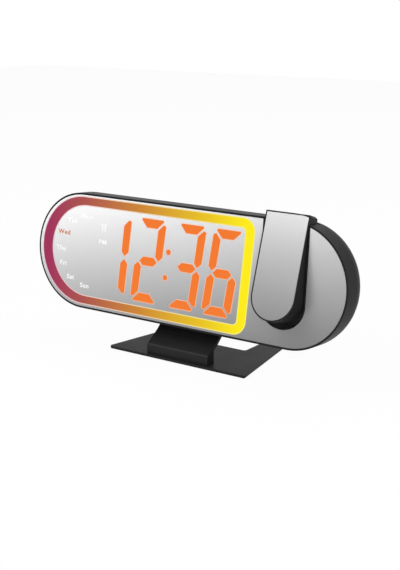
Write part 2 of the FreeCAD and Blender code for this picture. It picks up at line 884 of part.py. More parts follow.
def make_display_leds():
    body = new_body("display_leds")
    start = block_back - led_tall
    for column in digit_places:
        pad(body, "XZ", start, led_tall, *[box_at(x, z, led_side, led_side) for x, z in segment_middles(column)])
    pad(body, "XZ", start, led_tall, *[box_at(x, z + digit_mid, led_side, led_side) for x, z in dots])
    pad(body, "XZ", start, led_tall, *[box_at(x, z, led_side, led_side) for x, z, _ in label_places()])
    pad(body, "XZ", start, led_tall, *[box_at(x, z, led_side, led_side) for x, z in ring_lamp_places()])
    return on_face(body)


def make_main_board():
    body = new_body("main_board")
    pad(body, "XZ", main_at, board_thick, rectangle(-board_edge, -main_low, board_edge, main_top))
    cut(body, "XZ", main_at, board_thick, *[circle(x, z, small_screw + 0.1) for x, z in board_posts])
    cut(body, "XZ", main_at, board_thick, circle(*left_screws[2], post_radius + screw_clear))
    on_face(body)
    header = new_body("board_header")
    pad(header, "XZ", board_back, main_at - board_back, box_at(NONE, header_at, header_wide, header_high))
    on_face(header)
    chip = new_body("control_chip")
    pad(chip, "XZ", main_at - chip_thick, chip_thick, box_at(NONE, NONE, chip_wide, chip_wide))
    on_face(chip)
    screws = new_body("board_screws")
    pad(screws, "XZ", main_at - small_head_tall, small_head_tall,
        *[circle(x, z, small_head) for x, z in board_posts])
    pad(screws, "XZ", main_at, board_thick + small_grip,
        *[circle(x, z, small_screw) for x, z in board_posts])
    on_face(screws)


def make_switches():
    """The push switches; each button's own stem runs in its switch."""
    body = new_body("push_switches")
    pad(body, "XZ", main_back, switch_tall,
        *[box_at(x, button_high, switch_wide, switch_wide) for x in button_places()])
    cut(body, "XZ", main_back + 1, switch_tall,
        *[circle(x, button_high, switch_stem + switch_slack) for x in button_places()])
    on_face(body)


def make_button(index, x):
    """A round key: a cap through the back, a flange that stops it, and a stem into its switch."""
    body = new_body("button_%d" % (index + 1))
    pad(body, "XZ", back_inside - button_flange_thick, button_flange_thick,
        circle(NONE, NONE, button_radius + button_flange))
    pad(body, "XZ", back_inside, wall + button_proud, circle(NONE, NONE, button_radius))
    bevel_edges(body, button_edge,
                lambda edge: flat_at(edge, "Y", body_deep.value + button_proud.value))
    stem_front = main_back + 1 + button_travel + 0.3
    pad(body, "XZ", stem_front, back_inside - button_flange_thick - stem_front,
        circle(NONE, NONE, switch_stem))
    return on_face(body, x, NONE, button_high)


def make_buzzer():
    body = new_body("buzzer")
    pad(body, "XZ", main_back, buzzer_tall, circle(buzzer_at, 4, buzzer_radius))
    cut(body, "XZ", main_back + buzzer_tall - 1, 1, circle(buzzer_at, 4, as_length(1)))
    return on_face(body)


def make_power_inlet():
    """The supply socket: a folded metal sleeve round a tongue, both from one foot."""
    body = new_body("power_inlet")
    deep = body_deep - main_back - 0.3
    pad(body, "XZ", main_back, deep, stadium_at(inlet_at, -inlet_low, inlet_wide, inlet_high))
    cut(body, "XZ", main_back + 1, deep,
        stadium_at(inlet_at, -inlet_low, inlet_wide - inlet_skin * 2, inlet_high - inlet_skin * 2))
    pad(body, "XZ", main_back + 1, deep - 2.2,
        box_at(inlet_at, -inlet_low, inlet_wide - 2.6, inlet_tongue))
    return on_face(body)


def make_cell():
    holder = new_body("cell_holder")
    side = cell_radius * 2 + holder_wall * 2
    pad(holder, "XZ", main_back, holder_floor + cell_thick,
        round_box(-cell_at, -cell_low, side, side, as_length(1.5)))
    cut(holder, "XZ", main_back + holder_floor, cell_thick,
        circle(-cell_at, -cell_low, cell_radius + cell_gap))
    on_face(holder)
    cell = new_body("coin_cell")
    pad(cell, "XZ", main_back + holder_floor, cell_thick, circle(-cell_at, -cell_low, cell_radius))
    on_face(cell)


def make_battery_door():
    """A flush lid over the cell, on a ledge at both sides, with one screw."""
    body = new_body("battery_door")
    pad(body, "XZ", body_deep - door_thick, door_thick, door_outline(door_gap))
    cut(body, "XZ", body_deep - door_thick, door_thick, circle(*door_screw, small_screw + 0.1))
    on_face(body)
    screw = new_body("door_screw")
    pad(screw, "XZ", body_deep, small_head_tall * 0.6, circle(*door_screw, small_head))
    pad(screw, "XZ", body_deep - small_grip, small_grip, circle(*door_screw, small_screw))
    on_face(screw)


def make_housing_screws():
    """Pan heads sunk in the back; the left ones run through the display board into the block."""
    body = new_body("housing_screws")
    under = body_deep - screw_head_tall - 1
    pad(body, "XZ", under, screw_head_tall, *[circle(x, z, screw_head) for x, z in left_screws + right_screws])
    pad(body, "XZ", block_back - screw_grip + 1, under - block_back + screw_grip - 1,
        *[circle(x, z, screw_radius) for x, z in left_screws])
    pad(body, "XZ", side_deep, under - side_deep, *[circle(x, z, screw_radius) for x, z in right_screws])
    return on_face(body)


def make_hinge():
    pin = new_body("hinge_pin")
    pad(pin, "YZ", arm_at - recess_half - ear_long + 0.2, recess_half * 2 + ear_long * 2 - 0.4,
        circle(hinge_deep, hinge_high, pin_radius))
    on_face(pin)
    bushes = new_body("friction_bushes")
    inner = pin_radius + pin_gap
    for start in (arm_at - arm_half, arm_at + arm_half - bush_long):
        pad(bushes, "YZ", start, bush_long, circle(hinge_deep, hinge_high, inner + bush_wall))
        cut(bushes, "YZ", start, bush_long, circle(hinge_deep, hinge_high, inner))
    on_arm(bushes)


def make_arm_shell():
    """The arm's front half: a tray for its mirror, walls round the optics and a head on the hinge."""
    body = new_body("arm_shell")
    pad(body, "XZ", -arm_proud, arm_deep + arm_proud, flap(arm_half, arm_low, arm_top))
    left, right = arm_at - arm_half, arm_at + arm_half
    tray = arm_glass + glue - arm_proud
    pad(body, "XZ", tray, head_deep - tray, outline(
        line_to(left, hinge_high - 2), line_to(right, hinge_high - 2), line_to(right, arm_top - head_corner),
        line_to(right - head_corner, arm_top), line_to(left, arm_top)))
    step = arm_deep - head_deep
    cut(body, "YZ", arm_at - arm_half - 1, arm_half * 2 + 2,
        outline(line_to(arm_deep + 1, arm_top + 1), line_to(head_deep, arm_top + 1),
                line_to(head_deep, head_low + step), line_to(arm_deep, head_low),
                line_to(arm_deep + 1, head_low)))
    cut(body, "XZ", -arm_proud, arm_glass + glue, flap(arm_half - arm_rim, arm_low, arm_top - arm_rim))
    floor = arm_glass + glue + arm_skin - arm_proud
    cut(body, "XZ", floor, arm_deep, trough(arm_half - arm_wall, arm_low, head_low - arm_wall))
    cut(body, "YZ", arm_at - arm_half - 1, arm_half * 2 + 2,
        circle(hinge_deep, hinge_high, pin_radius + pin_gap + bush_wall))
    cut(body, "XY", -arm_low - arm_half - 1, arm_wall + 2.5, circle(arm_at, optic_deep, nose_radius + nose_gap))
    round_edges(body, head_round, lambda edge: flat_at(edge, "Y", head_deep.value)
                and edge.BoundBox.ZMin > head_low.value + 4 and edge.BoundBox.XLength > 15)
    return on_arm(body)


def make_arm_mirror():
    body = new_body("arm_mirror")
    edge = arm_rim + 0.1
    pad(body, "XZ", -arm_proud, arm_glass, flap(arm_half - edge, arm_low, arm_top - edge))
    return on_arm(body)


def make_arm_cover():
    """The inner lid of the arm, with a window where a finger turns the focus collar."""
    body = new_body("arm_cover")
    pad(body, "XZ", arm_deep, arm_cover, trough(arm_half, arm_low, head_low))
    bevel_edges(body, cover_edge, lambda edge: flat_at(edge, "Y", arm_deep.value + arm_cover.value))
    window = collar_top - collar_long / 2
    cut(body, "XZ", arm_deep, arm_cover, box_at(arm_at, window, window_wide, collar_long + window_gap * 2))
    tip = -arm_low - arm_half - 1
    cut(body, "XY", tip, window - tip, circle(arm_at, optic_deep, nose_radius + nose_gap))
    cut(body, "XZ", arm_deep, arm_cover, *[circle(x, z, small_screw + 0.15) for x, z in arm_screw_places()])
    return on_arm(body)


def arm_screw_places():
    return [(arm_at - arm_half + 4.5, head_low - 4.5), (arm_at + arm_half - 4.5, head_low - 4.5)]


def make_arm_screws():
    body = new_body("arm_screws")
    pad(body, "XZ", arm_deep + arm_cover, small_head_tall * 0.6,
        *[circle(x, z, small_head) for x, z in arm_screw_places()])
    pad(body, "XZ", arm_deep - small_grip, arm_cover + small_grip,
        *[circle(x, z, small_screw) for x, z in arm_screw_places()])
    return on_arm(body)


def add_screw_posts(shell):
    """Posts in the arm for the two screws of its lid."""
    floor = arm_glass + glue + arm_skin - arm_proud
    for x, z in arm_screw_places():
        pad(shell, "XZ", floor, arm_deep - floor, circle(x, z, small_head + 0.3))
        cut(shell, "XZ", arm_deep - small_grip - 0.5, small_grip + 0.5, circle(x, z, small_screw))


def make_optics():
    """Along the arm: lamp board, lamp, film, tube, then the collar that carries the lens."""
    floor = arm_glass + glue + arm_skin - arm_proud
    deep = arm_deep - floor
    board = new_body("projector_board")
    pad(board, "XY", lamp_at, lamp_board, box_at(arm_at, floor + deep / 2, optic_wide, deep))
    on_arm(board)
    lamp = new_body("projector_lamp")
    straight = lamp_tall - lamp_radius
    turned(lamp, outline(
        line_to(0, 0), line_to(lamp_radius, 0), line_to(lamp_radius, -straight),
        line_to(lamp_radius / 2, -lamp_tall), line_to(0, -lamp_tall)))
    on_arm(lamp, arm_at, optic_deep, lamp_at)
    film = new_body("time_film")
    pad(film, "XY", tube_top, film_thick, box_at(arm_at, floor + deep / 2, optic_wide - 4, deep))
    on_arm(film)
    tube = new_body("lens_tube")
    low = collar_top - tube_in
    pad(tube, "XY", low, tube_top - low, circle(arm_at, optic_deep, tube_radius))
    pad(tube, "XY", tube_top - tube_flange, tube_flange, box_at(arm_at, floor + deep / 2, optic_wide, deep))
    cut(tube, "XY", low, tube_top - low, circle(arm_at, optic_deep, tube_bore))
    on_arm(tube)
    collar = new_body("focus_collar")
    bore = tube_radius + tube_gap
    foot = collar_top - collar_long
    step = low - 0.6
    turned(collar, outline(
        line_to(bore, collar_top), line_to(collar_radius, collar_top), line_to(collar_radius, foot),
        line_to(nose_radius, foot), line_to(nose_radius, -nose_low), line_to(lens_radius, -nose_low),
        line_to(lens_radius, step), line_to(bore, step)))
    tooth = cut(collar, "XY", foot - 0.5, collar_long + 1,
                circle(collar_radius + 0.25, NONE, tooth_deep + 0.25))
    pattern = collar.newObject("PartDesign::PolarPattern", "focus_collar_teeth")
    pattern.Originals = [tooth]
    pattern.Axis = (tooth.Profile[0], ["N_Axis"])
    pattern.Angle = 360
    pattern.Occurrences = collar_teeth
    collar.Tip = pattern
    doc.recompute()
    on_arm(collar, arm_at, optic_deep, NONE)
    lens = new_body("projector_lens")
    edge = lens_thick / 2
    crown = lens_crown
    sweep = (lens_radius * lens_radius + crown * crown) / (crown * 2)
    turned(lens, outline(
        line_to(0, edge), line_to(lens_radius, edge), line_to(lens_radius, -edge),
        arc_to(0, -edge - crown, 0, sweep - edge - crown, sweep)))
    on_arm(lens, arm_at, optic_deep, -nose_low + edge + crown + 0.5)


def make_stand():
    """A steel plate with a window, a mat under it and the bent neck on top."""
    half = plate_wide / 2
    narrow = half - plate_long * tangent(plate_taper)
    front = -plate_long / 2
    back = plate_long / 2
    plate = new_body("stand_plate")
    pad(plate, "XY", mat_thick, plate_thick, outline(
        line_to(-half, front), line_to(half, front), line_to(narrow, back), line_to(-narrow, back)))
    round_edges(plate, plate_corner, lambda edge: edge.BoundBox.ZLength > plate_thick.value / 2)
    slot_mid = front + slot_front + slot_long / 2
    cut(plate, "XY", mat_thick, plate_thick, round_box(NONE, slot_mid, slot_wide, slot_long, slot_corner))
    foot_mid = front + foot_inset + foot_deep / 2
    cut(plate, "XY", mat_thick, plate_thick,
        *[circle(x, foot_mid, screw_radius + screw_clear) for x in (-base_screw_at, base_screw_at)])
    cut(plate, "XY", mat_thick, base_head_up + base_head_tall - mat_thick + 0.05,
        *[circle(x, foot_mid, screw_head + screw_clear) for x in (-base_screw_at, base_screw_at)])
    on_stand(plate)

    mat = new_body("base_mat")
    slide = mat_inset / cosine(plate_taper) + mat_inset * tangent(plate_taper)
    pad(mat, "XY", 0, mat_thick, outline(
        line_to(slide - half, front + mat_inset), line_to(half - slide, front + mat_inset),
        line_to(narrow - mat_inset, back - mat_inset), line_to(mat_inset - narrow, back - mat_inset)))
    cut(mat, "XY", 0, mat_thick,
        round_box(NONE, slot_mid, slot_wide + mat_inset * 2, slot_long + mat_inset * 2,
                  slot_corner + mat_inset))
    cut(mat, "XY", 0, mat_thick,
        *[circle(x, foot_mid, screw_head + screw_clear * 2) for x in (-base_screw_at, base_screw_at)])
    on_stand(mat)

    screws = new_body("base_screws")
    places = (-base_screw_at, base_screw_at)
    head_top = base_head_up + base_head_tall
    pad(screws, "XY", base_head_up, base_head_tall, *[circle(x, foot_mid, screw_head) for x in places])
    pad(screws, "XY", head_top, screw_grip, *[circle(x, foot_mid, screw_radius) for x in places])
    on_stand(screws)


def make_neck():
    """The bent strip: a foot, a slope that steepens at a knee, a bend round the body and a tab."""
    body = new_body("stand_neck")
    front = -plate_long / 2 + foot_inset
    bend_z = plate_top + foot_tall
    knee_y = front + knee_run
    knee_z = bend_z + knee_run * tangent(neck_slope)
    round_y = face_y + (body_deep - back_round) * cosine(lean) - (end_radius - back_round) * sine(lean)
    round_z = face_z - (body_deep - back_round) * sine(lean) - (end_radius - back_round) * cosine(lean)
    inner = back_round + neck_gap
    outer = inner + neck_thick
    reach_y = round_y - knee_y
    reach_z = round_z - knee_z
    reach = root(reach_y * reach_y + reach_z * reach_z)
    steep = angle_of(reach_z, reach_y) - arc_sine(inner / reach)
    turn = steep - 90
    touch = (round_y + inner * cosine(turn), round_z + inner * sine(turn))
    touch_out = (round_y + outer * cosine(turn), round_z + outer * sine(turn))
    lift = -lean
    flat = (round_y + inner * cosine(lift), round_z + inner * sine(lift))
    flat_out = (round_y + outer * cosine(lift), round_z + outer * sine(lift))
    tab = tab_top + end_radius - back_round
    top = (flat[0] + tab * sine(lean), flat[1] + tab * cosine(lean))
    top_out = (flat_out[0] + tab * sine(lean), flat_out[1] + tab * cosine(lean))
    half_bend = (steep - neck_slope) / 2
    mean = (steep + neck_slope) / 2
    knee_out_y = knee_y + neck_thick / cosine(half_bend) * sine(mean)
    knee_out_z = knee_z - neck_thick / cosine(half_bend) * cosine(mean)
    foot_back = front + foot_deep
    under_z = knee_out_z - (knee_out_y - foot_back) * tangent(neck_slope)
    profile = [
        line_to(front, plate_top), line_to(front, bend_z), line_to(knee_y, knee_z),
        line_to(*touch), arc_to(flat[0], flat[1], round_y, round_z, inner), line_to(*top),
        line_to(*top_out), line_to(*flat_out), arc_to(touch_out[0], touch_out[1], round_y, round_z, outer),
        line_to(knee_out_y, knee_out_z), line_to(foot_back, under_z), line_to(foot_back, plate_top)]
    pad(body, "YZ", -neck_wide / 2, neck_wide, outline(*profile))

    def runs_across(edge, y, z):
        box = edge.BoundBox
        return box.YLength < 0.01 and abs(box.YMin - y.value) < 0.01 and abs(box.ZMin - z.value) < 0.01

    round_edges(body, foot_round, lambda edge: runs_across(edge, front, bend_z))
    round_edges(body, tab_round, lambda edge: edge.BoundBox.XLength < 0.01
                and abs(edge.BoundBox.Center.y - (top[0].value + top_out[0].value) / 2) < 0.2
                and abs(edge.BoundBox.Center.z - (top[1].value + top_out[1].value) / 2) < 0.3)
    places = (-base_screw_at, base_screw_at)
    cut(body, "XY", plate_top, screw_grip - 0.8,
        *[circle(x, front + foot_deep / 2, screw_radius) for x in places])
    return on_stand(body)


def drill_neck(neck):
    """The tab's two screws go square into the leaning back."""
    screws = new_body("neck_screws")
    pad(screws, "XZ", body_deep + neck_gap + neck_thick, screw_head_tall,
        *[circle(x, -neck_screw_low, screw_head) for x in (-neck_screw_at, neck_screw_at)])
    pad(screws, "XZ", back_inside - neck_post + 0.5, neck_post - 0.5 + wall + neck_gap + neck_thick,
        *[circle(x, -neck_screw_low, screw_radius) for x in (-neck_screw_at, neck_screw_at)])
    on_face(screws)
    drill = new_body("neck_drill")
    pad(drill, "XZ", body_deep, neck_gap + neck_thick + 1,
        *[circle(x, -neck_screw_low, screw_radius + screw_clear) for x in (-neck_screw_at, neck_screw_at)])
    on_face(drill)
    del nodes["neck_drill"]
    del nodes["stand_neck"]
    neck.Label = "neck_form"
    drilled = doc.addObject("Part::Cut", "drilled_neck")
    drilled.Base = neck
    drilled.Tool = drill
    drilled.Label = "stand_neck"
    doc.recompute()
    nodes["stand_neck"] = drilled


make_front_housing()
make_rear_housing()
make_mirror_panel()
make_light_ring()
make_segment_block()
make_segment_diffusers()
make_label_diffusers()
make_display_board()
make_display_leds()
make_main_board()
make_switches()
for order, middle in enumerate(button_places()):
    make_button(order, middle)
make_buzzer()
make_power_inlet()
make_cell()
make_battery_door()
make_housing_screws()
make_hinge()
add_screw_posts(make_arm_shell())
make_arm_mirror()
make_arm_cover()
make_arm_screws()
make_optics()
make_stand()
drill_neck(make_neck())

doc.recompute()
for item in doc.Objects:
    if "Invalid" in item.State or "Error" in item.State:
        raise RuntimeError("%s (%s) did not build" % (item.Label, item.Name))
for name, node in nodes.items():
    if node.Shape.isNull() or not node.Shape.isValid():
        raise RuntimeError("%s has no valid shape" % name)

os.makedirs("parts", exist_ok=True)
for name, node in nodes.items():
    node.Shape.exportStep("parts/%s.step" % name)
    box = node.Shape.BoundBox
    print("%-18s %2d solids %9.1f mm3  y %6.1f..%6.1f  z %6.1f..%6.1f" % (
        name, len(node.Shape.Solids), node.Shape.Volume, box.YMin, box.YMax, box.ZMin, box.ZMax))
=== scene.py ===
import json
import math

import bmesh
import bpy
from mathutils import Matrix, Vector


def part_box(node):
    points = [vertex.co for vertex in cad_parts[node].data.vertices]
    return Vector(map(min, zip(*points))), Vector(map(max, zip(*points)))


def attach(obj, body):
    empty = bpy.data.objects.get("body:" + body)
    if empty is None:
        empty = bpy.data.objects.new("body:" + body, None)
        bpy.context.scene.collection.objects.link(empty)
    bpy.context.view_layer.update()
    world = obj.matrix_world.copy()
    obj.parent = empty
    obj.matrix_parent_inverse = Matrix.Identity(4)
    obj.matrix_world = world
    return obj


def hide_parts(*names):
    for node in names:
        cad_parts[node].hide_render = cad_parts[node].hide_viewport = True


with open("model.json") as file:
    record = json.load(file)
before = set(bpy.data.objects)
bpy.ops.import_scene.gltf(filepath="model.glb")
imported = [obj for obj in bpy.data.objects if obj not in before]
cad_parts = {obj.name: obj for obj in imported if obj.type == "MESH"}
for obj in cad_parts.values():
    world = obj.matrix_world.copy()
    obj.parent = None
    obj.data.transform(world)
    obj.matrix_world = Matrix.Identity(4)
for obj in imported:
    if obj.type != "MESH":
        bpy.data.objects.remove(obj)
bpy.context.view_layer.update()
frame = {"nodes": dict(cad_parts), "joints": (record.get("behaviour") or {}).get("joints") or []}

mm = 0.001
print("frame loaded:", len(frame["nodes"]), "nodes")


# The face leans back: a key's travel tells by how much, and the mirror tells where its middle is

joints = {joint["name"]: joint for joint in frame["joints"]}
pressAxis = Vector(joints["key_3_press"]["axis"])
hingeAxis = Vector(joints["arm_hinge"]["axis"])
hingePlace = Vector(joints["arm_hinge"]["pos_m"])
restOpen = math.radians(-joints["arm_hinge"]["range_deg"][0])
mirrorLow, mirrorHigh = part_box("mirror_panel")
mirrorSlab = {"thick": 1.5}


def squareFrame(back, place):
    up = back.cross(Vector((-1, 0, 0))).normalized()
    return Matrix((
        (1, 0, 0, place.x),
        (0, back.y, up.y, place.y),
        (0, back.z, up.z, place.z),
        (0, 0, 0, 1)))


faceBack = -pressAxis.normalized()
facePlace = (mirrorLow + mirrorHigh) / 2 - faceBack * mirrorSlab["thick"] / 2 * mm
facePlace.x = 0
onFace = squareFrame(faceBack, facePlace)
armTurn = (Matrix.Translation(hingePlace) @ Matrix.Rotation(restOpen, 4, hingeAxis)
           @ Matrix.Translation(-hingePlace))
onArm = armTurn @ onFace  # a point of the closed arm, drawn on the face, goes where the open arm has it


# Shaders

class Wire:  # a socket that takes part in sums
    def __init__(self, shader, socket):
        self.shader = shader
        self.socket = socket

    def sum(self, operation, first, second):
        return self.shader.node("ShaderNodeMath", {"operation": operation}, {0: first, 1: second})

    def __add__(self, other):
        return self.sum("ADD", self, other)

    def __radd__(self, other):
        return self.sum("ADD", other, self)

    def __sub__(self, other):
        return self.sum("SUBTRACT", self, other)

    def __rsub__(self, other):
        return self.sum("SUBTRACT", other, self)

    def __mul__(self, other):
        return self.sum("MULTIPLY", self, other)

    def __rmul__(self, other):
        return self.sum("MULTIPLY", other, self)

    def __truediv__(self, other):
        return self.sum("DIVIDE", self, other)

    def clamp(self):
        return self.shader.node("ShaderNodeClamp", {}, {0: self})


class Shader:
    def __init__(self, name):
        self.material = bpy.data.materials.new(name)
        self.material.use_nodes = True
        self.tree = self.material.node_tree
        self.tree.nodes.clear()

    def node(self, kind, settings, sockets, output=0):
        made = self.tree.nodes.new(kind)
        for name, value in settings.items():
            if name == "stops":
                fillRamp(made.color_ramp, value)
            else:
                setattr(made, name, value)
        for name, value in sockets.items():
            if isinstance(value, Wire):
                self.tree.links.new(value.socket, made.inputs[name])
            else:
                made.inputs[name].default_value = value
        return Wire(self, made.outputs[output])

    def place(self):
        return self.node("ShaderNodeTexCoord", {}, {}, "Object")

    def along(self, axis):
        return self.node("ShaderNodeSeparateXYZ", {}, {0: self.place()}, axis)

    def within(self, axis, low, high):
        place = self.along(axis)
        above = self.node("ShaderNodeMath", {"operation": "GREATER_THAN"}, {0: place, 1: low})
        return above * self.node("ShaderNodeMath", {"operation": "LESS_THAN"}, {0: place, 1: high})

    def noise(self, scale, detail=3.0, roughness=0.55):
        return self.node("ShaderNodeTexNoise", {}, {
            "Vector": self.place(), "Scale": scale, "Detail": detail, "Roughness": roughness}, "Fac")

    def ramp(self, factor, stops):
        return self.node("ShaderNodeValToRGB", {"stops": stops}, {"Fac": factor}, "Color")

    def mix(self, factor, first, second):
        return self.node("ShaderNodeMix", {"data_type": "RGBA"}, {0: factor, 6: first, 7: second}, 2)

    def bump(self, height, strength, distance):
        return self.node("ShaderNodeBump", {}, {
            "Height": height, "Strength": strength, "Distance": distance}, "Normal")

    def close(self, **sockets):
        names = {"color": "Base Color", "roughness": "Roughness", "metallic": "Metallic", "normal": "Normal",
                 "glow": "Emission Color", "glowStrength": "Emission Strength",
                 "specular": "Specular IOR Level", "ior": "IOR", "through": "Transmission Weight"}
        finish = self.node("ShaderNodeBsdfPrincipled", {}, {
            names[key]: value for key, value in sockets.items()})
        self.output(finish)
        return self.material

    def output(self, surface):
        out = self.tree.nodes.new("ShaderNodeOutputMaterial")
        self.tree.links.new(surface.socket, out.inputs["Surface"])


def fillRamp(ramp, stops):
    while len(ramp.elements) < len(stops):
        ramp.elements.new(0.5)
    for element, (position, color) in zip(ramp.elements, stops):
        element.position = position
        element.color = color


def paint(red, green, blue):  # a colour as a screen shows it, in 255ths
    def linear(value):
        value /= 255
        return value / 12.92 if value <= 0.04045 else ((value + 0.055) / 1.055) ** 2.4
    return (linear(red), linear(green), linear(blue), 1.0)


moulding = {
    "darker": 5, "lighter": 4, "bluer": 3, "wearGrain": 60.0, "wear": 0.12, "bump": 0.25, "depth": 0.00006}
recess = {  # painted paler than the housing, as the lamps leave it darker than it is in the photo
    "x": (0.0543, 0.0824), "y": (-0.0315, -0.013), "z": (0.03, 0.0878), "shade": 74}


def blackMoulding(name, shade, roughness, grain, specular=0.1, pocket=None):
    shader = Shader(name)
    speckle = shader.noise(grain, 4.0)
    low, high = shade - moulding["darker"], shade + moulding["lighter"]
    color = shader.mix(speckle, paint(low, low, low), paint(high, high, high + moulding["bluer"]))
    if pocket:
        inside = (shader.within("X", *pocket["x"]) * shader.within("Y", *pocket["y"])
                  * shader.within("Z", *pocket["z"]))
        color = shader.mix(inside, color, paint(*[pocket["shade"]] * 3))
    wear = shader.noise(moulding["wearGrain"], 2.0)
    return shader.close(
        color=color, roughness=roughness - moulding["wear"] / 2 + wear * moulding["wear"],
        normal=shader.bump(speckle, moulding["bump"], moulding["depth"]), specular=specular)


glass = {"steps": 5, "metallic": 0.25, "roughness": 0.26, "haze": 0.06, "hazeGrain": 35.0, "specular": 0.3,
         "line": (22, 22, 24)}


def mirrorGlass(name, middle, start, across, down, light, dark, rim=None):
    # painted reflection: the tone falls evenly from the upper left to the lower right, as a mirror shows a
    # white room
    shader = Shader(name)
    reflectionSlide = (shader.along("X") - middle.x) * across + (middle.z - shader.along("Z")) * down + start
    stops = []
    for step in range(glass["steps"] + 1):
        part = step / glass["steps"]
        shade = light + (dark - light) * part
        stops.append((part, paint(shade, shade, shade + 1)))
    color = shader.ramp(reflectionSlide, stops)
    if rim:  # a black line is painted round the edge of the arm's mirror
        centre, up = rim["centre"], rim["up"]
        side = shader.along("X") - centre.x
        rise = (shader.along("Y") - centre.y) * up.y + (shader.along("Z") - centre.z) * up.z
        below = shader.node("ShaderNodeMath", {"operation": "MINIMUM"}, {0: rise, 1: 0.0})
        apart = shader.node("ShaderNodeMath", {"operation": "SQRT"}, {0: side * side + below * below})
        edge = shader.node("ShaderNodeMath", {"operation": "GREATER_THAN"}, {0: apart, 1: rim["radius"]})
        over = shader.node("ShaderNodeMath", {"operation": "GREATER_THAN"}, {0: rise, 1: rim["top"]})
        color = shader.mix((edge + over).clamp(), color, paint(*glass["line"]))
    haze = shader.noise(glass["hazeGrain"], 2.0)
    return shader.close(
        color=color, metallic=glass["metallic"], roughness=glass["roughness"] + haze * glass["haze"],
        specular=glass["specular"])


metal = {"spread": 10, "metallic": 0.9, "uneven": 0.12, "bump": 0.15, "depth": 0.00003}
tint = {"uneven": 0.08, "bump": 0.2, "depth": 0.00004}
glow = {"base": 6, "roughness": 0.45, "uneven": 0.1, "grain": 300.0, "specular": 0.1}


def plainMetal(name, shade, roughness, grain=900.0):
    shader = Shader(name)
    speckle = shader.noise(grain, 3.0)
    color = shader.mix(speckle, paint(*[shade - metal["spread"]] * 3), paint(*[shade + metal["spread"]] * 3))
    return shader.close(
        color=color, metallic=metal["metallic"], roughness=roughness + speckle * metal["uneven"],
        normal=shader.bump(speckle, metal["bump"], metal["depth"]))


def tinted(name, color, roughness, spread=8, grain=700.0, **more):
    shader = Shader(name)
    speckle = shader.noise(grain, 3.0)
    base = shader.mix(speckle, paint(*[max(0, part - spread) for part in color]),
                      paint(*[min(255, part + spread) for part in color]))
    return shader.close(
        color=base, roughness=roughness + speckle * tint["uneven"],
        normal=shader.bump(speckle, tint["bump"], tint["depth"]), **more)


alongRing = {"axis": "X", "low": -0.104, "span": 0.152}
upFace = {"axis": "Z", "low": 0.03, "span": 0.06}


def glowing(name, stops, axis, low, span):
    shader = Shader(name)
    color = shader.ramp((shader.along(axis) - low) / span, stops)
    return shader.close(
        color=paint(*[glow["base"]] * 3), glow=color, glowStrength=1.0,
        roughness=glow["roughness"] + shader.noise(glow["grain"]) * glow["uneven"], specular=glow["specular"])


def armMirrorRim(line):
    back = onArm.inverted()
    points = [back @ vertex.co for vertex in frame["nodes"]["arm_mirror"].data.vertices]
    left, right = min(point.x for point in points), max(point.x for point in points)
    low, high = min(point.z for point in points), max(point.z for point in points)
    radius = (right - left) / 2
    return {"centre": onArm @ Vector(((left + right) / 2, 0, low + radius)),
            "up": onArm.to_3x3() @ Vector((0, 0, 1)),
            "radius": radius - line * mm, "top": high - low - radius - line * mm}


armMirrorPlace = Vector((0.0684, 0, 0.092))

finishes = {
    "body": blackMoulding("bodyPlastic", 26, 0.46, 2200.0, pocket=recess),
    "arm": blackMoulding("armPlastic", 28, 0.42, 2200.0),
    "stand": blackMoulding("standPlastic", 28, 0.44, 1800.0, 0.14),
    "plate": blackMoulding("plateCoat", 30, 0.48, 2600.0),
    "key": blackMoulding("keyPlastic", 46, 0.38, 1500.0, 0.2),
    # both mirrors carry a painted reflection, light above and darker below
    "mirror": mirrorGlass("faceMirror", facePlace, start=0.44, across=2.33, down=10.95, light=234, dark=120),
    "armMirror": mirrorGlass("armMirror", armMirrorPlace, start=0.0, across=0.0, down=16.0,
                             light=191, dark=118, rim=armMirrorRim(0.35)),
    "steel": plainMetal("platedSteel", 176, 0.26),
    "darkSteel": plainMetal("blackSteel", 62, 0.34),
    "brass": tinted("turnedBrass", (196, 160, 92), 0.26, 6, 500.0, metallic=1.0),
    "milky": tinted("milkyPlastic", (236, 235, 230), 0.34, 3),
    "white": tinted("whitePlastic", (226, 226, 222), 0.5, 4),
    "board": tinted("circuitBoard", (22, 84, 48), 0.36, 10, 400.0),
    "lamp": tinted("lampResin", (246, 238, 196), 0.18, 4, 300.0),
    "chip": tinted("mouldedBlack", (38, 38, 40), 0.5, 5, 1500.0),
    "rubber": tinted("matRubber", (30, 30, 30), 0.72, 6, 2600.0),
    "film": tinted("timeFilm", (28, 28, 34), 0.12, 3),
    "lens": tinted("lensGlass", (214, 228, 236), 0.03, 2, 200.0, through=0.9, ior=1.5),
}

wornBy = {
    "body": ["front_housing", "rear_housing", "battery_door"],
    "arm": ["arm_shell", "arm_cover", "focus_collar"],
    "stand": ["stand_neck"],
    "plate": ["stand_plate"],
    "key": ["button_1", "button_2", "button_3", "button_4", "button_5"],
    "mirror": ["mirror_panel"],
    "armMirror": ["arm_mirror"],
    "steel": ["board_screws", "power_inlet", "coin_cell", "hinge_pin"],
    "darkSteel": ["door_screw", "housing_screws", "neck_screws", "base_screws", "arm_screws"],
    "brass": ["friction_bushes"],
    "milky": ["light_ring", "segment_diffusers", "label_diffusers"],
    "white": ["segment_block"],
    "board": ["display_board", "main_board", "projector_board"],
    "lamp": ["display_leds", "projector_lamp"],
    "chip": ["board_header", "control_chip", "push_switches", "buzzer", "cell_holder", "lens_tube"],
    "rubber": ["base_mat"],
    "film": ["time_film"],
    "lens": ["projector_lens"],
}

for finish, names in wornBy.items():
    for name in names:
        piece = frame["nodes"][name]
        if not piece.material_slots:
            piece.data.materials.append(finishes[finish])
        for materialSlot in piece.material_slots:
            materialSlot.material = finishes[finish]
print("finishes on", sum(len(names) for names in wornBy.values()), "nodes")


# Flat pieces, drawn in millimetres on the face and given a depth

